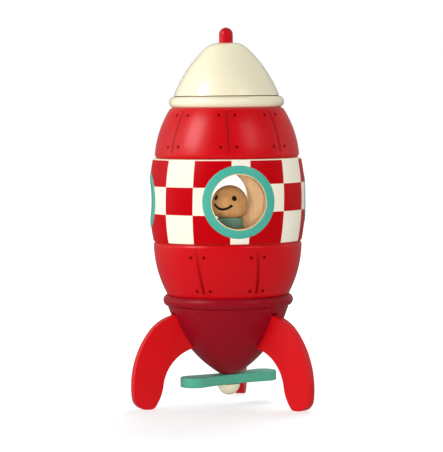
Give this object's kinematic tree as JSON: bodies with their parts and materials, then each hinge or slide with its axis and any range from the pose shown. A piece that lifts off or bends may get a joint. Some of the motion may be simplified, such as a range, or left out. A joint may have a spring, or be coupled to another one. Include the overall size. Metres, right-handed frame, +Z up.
{
  "type": "stacking toy rocket",
  "caption": "Turned wooden stacking toy rocket: magnetic sections, a hollow window section with a peg pilot, curved fins and a spinning propeller.",
  "frame": {"origin": "on the rocket's axis at the floor it stands on", "axes": "+Z up along the rocket's axis to the nose; the front window faces -Y; +X to the viewer's right"},
  "size_m": [0.1147, 0.1143, 0.2436],
  "materials": {
    "red_paint": "satin red paint on turned wood",
    "cream_paint": "satin cream paint on turned wood",
    "chequer_paint": "satin red and cream chequered paint on turned wood",
    "dark_red_paint": "satin dark red paint on turned wood",
    "teal_paint": "satin teal paint on wood",
    "bare_wood": "clear-lacquered beech",
    "pilot_paint": "satin grey-green paint on turned wood",
    "magnet_steel": "nickel-plated disc magnet"
  },
  "bodies": {
    "tail": {"tail_cone": "dark_red_paint", "tail_magnet": "magnet_steel", "fin_left": "red_paint", "fin_right": "red_paint", "fin_back": "red_paint", "propeller_pin": "cream_paint"},
    "propeller": {"propeller": "teal_paint"},
    "lower_magnet_mount": {"lower_bottom_magnet": "magnet_steel"},
    "lower": {"lower_section": "red_paint", "lower_top_magnet": "magnet_steel"},
    "window_magnet_mount": {"window_bottom_magnet": "magnet_steel"},
    "window": {"window_barrel": "chequer_paint", "cabin_ceiling": "bare_wood", "cabin_floor": "bare_wood", "window_top_magnet": "magnet_steel", "front_window_ring": "teal_paint", "back_window_ring": "teal_paint", "left_window_ring": "teal_paint", "right_window_ring": "teal_paint"},
    "pilot": {"pilot_head": "bare_wood", "pilot_body": "pilot_paint"},
    "upper_magnet_mount": {"upper_bottom_magnet": "magnet_steel"},
    "upper": {"upper_section": "red_paint", "upper_top_magnet": "magnet_steel"},
    "nose_magnet_mount": {"nose_magnet": "magnet_steel"},
    "nose": {"nose_cone": "cream_paint", "nose_tip": "red_paint"}
  },
  "joints": [
    {"name": "propeller_spin", "type": "hinge", "parent": "tail", "child": "propeller", "pos_m": [0, 0, 0.0169], "axis": [0, 0, 1], "continuous": true},
    {"name": "lower_lift", "type": "slide", "parent": "tail", "child": "lower_magnet_mount", "axis": [0, 0, 1], "range_m": [0, 0.04]},
    {"name": "lower_turn", "type": "hinge", "parent": "lower_magnet_mount", "child": "lower", "pos_m": [0, 0, 0.0718], "axis": [0, 0, 1], "continuous": true},
    {"name": "window_lift", "type": "slide", "parent": "lower", "child": "window_magnet_mount", "axis": [0, 0, 1], "range_m": [0, 0.04]},
    {"name": "window_turn", "type": "hinge", "parent": "window_magnet_mount", "child": "window", "pos_m": [0, 0, 0.1066], "axis": [0, 0, 1], "continuous": true},
    {"name": "pilot_turn", "type": "hinge", "parent": "window", "child": "pilot", "pos_m": [0.0015, 0, 0.1112], "axis": [0, 0, 1], "continuous": true},
    {"name": "upper_lift", "type": "slide", "parent": "window", "child": "upper_magnet_mount", "axis": [0, 0, 1], "range_m": [0, 0.04]},
    {"name": "upper_turn", "type": "hinge", "parent": "upper_magnet_mount", "child": "upper", "pos_m": [0, 0, 0.16], "axis": [0, 0, 1], "continuous": true},
    {"name": "nose_lift", "type": "slide", "parent": "upper", "child": "nose_magnet_mount", "axis": [0, 0, 1], "range_m": [0, 0.04]},
    {"name": "nose_turn", "type": "hinge", "parent": "nose_magnet_mount", "child": "nose", "pos_m": [0, 0, 0.1924], "axis": [0, 0, 1], "continuous": true}
  ]
}
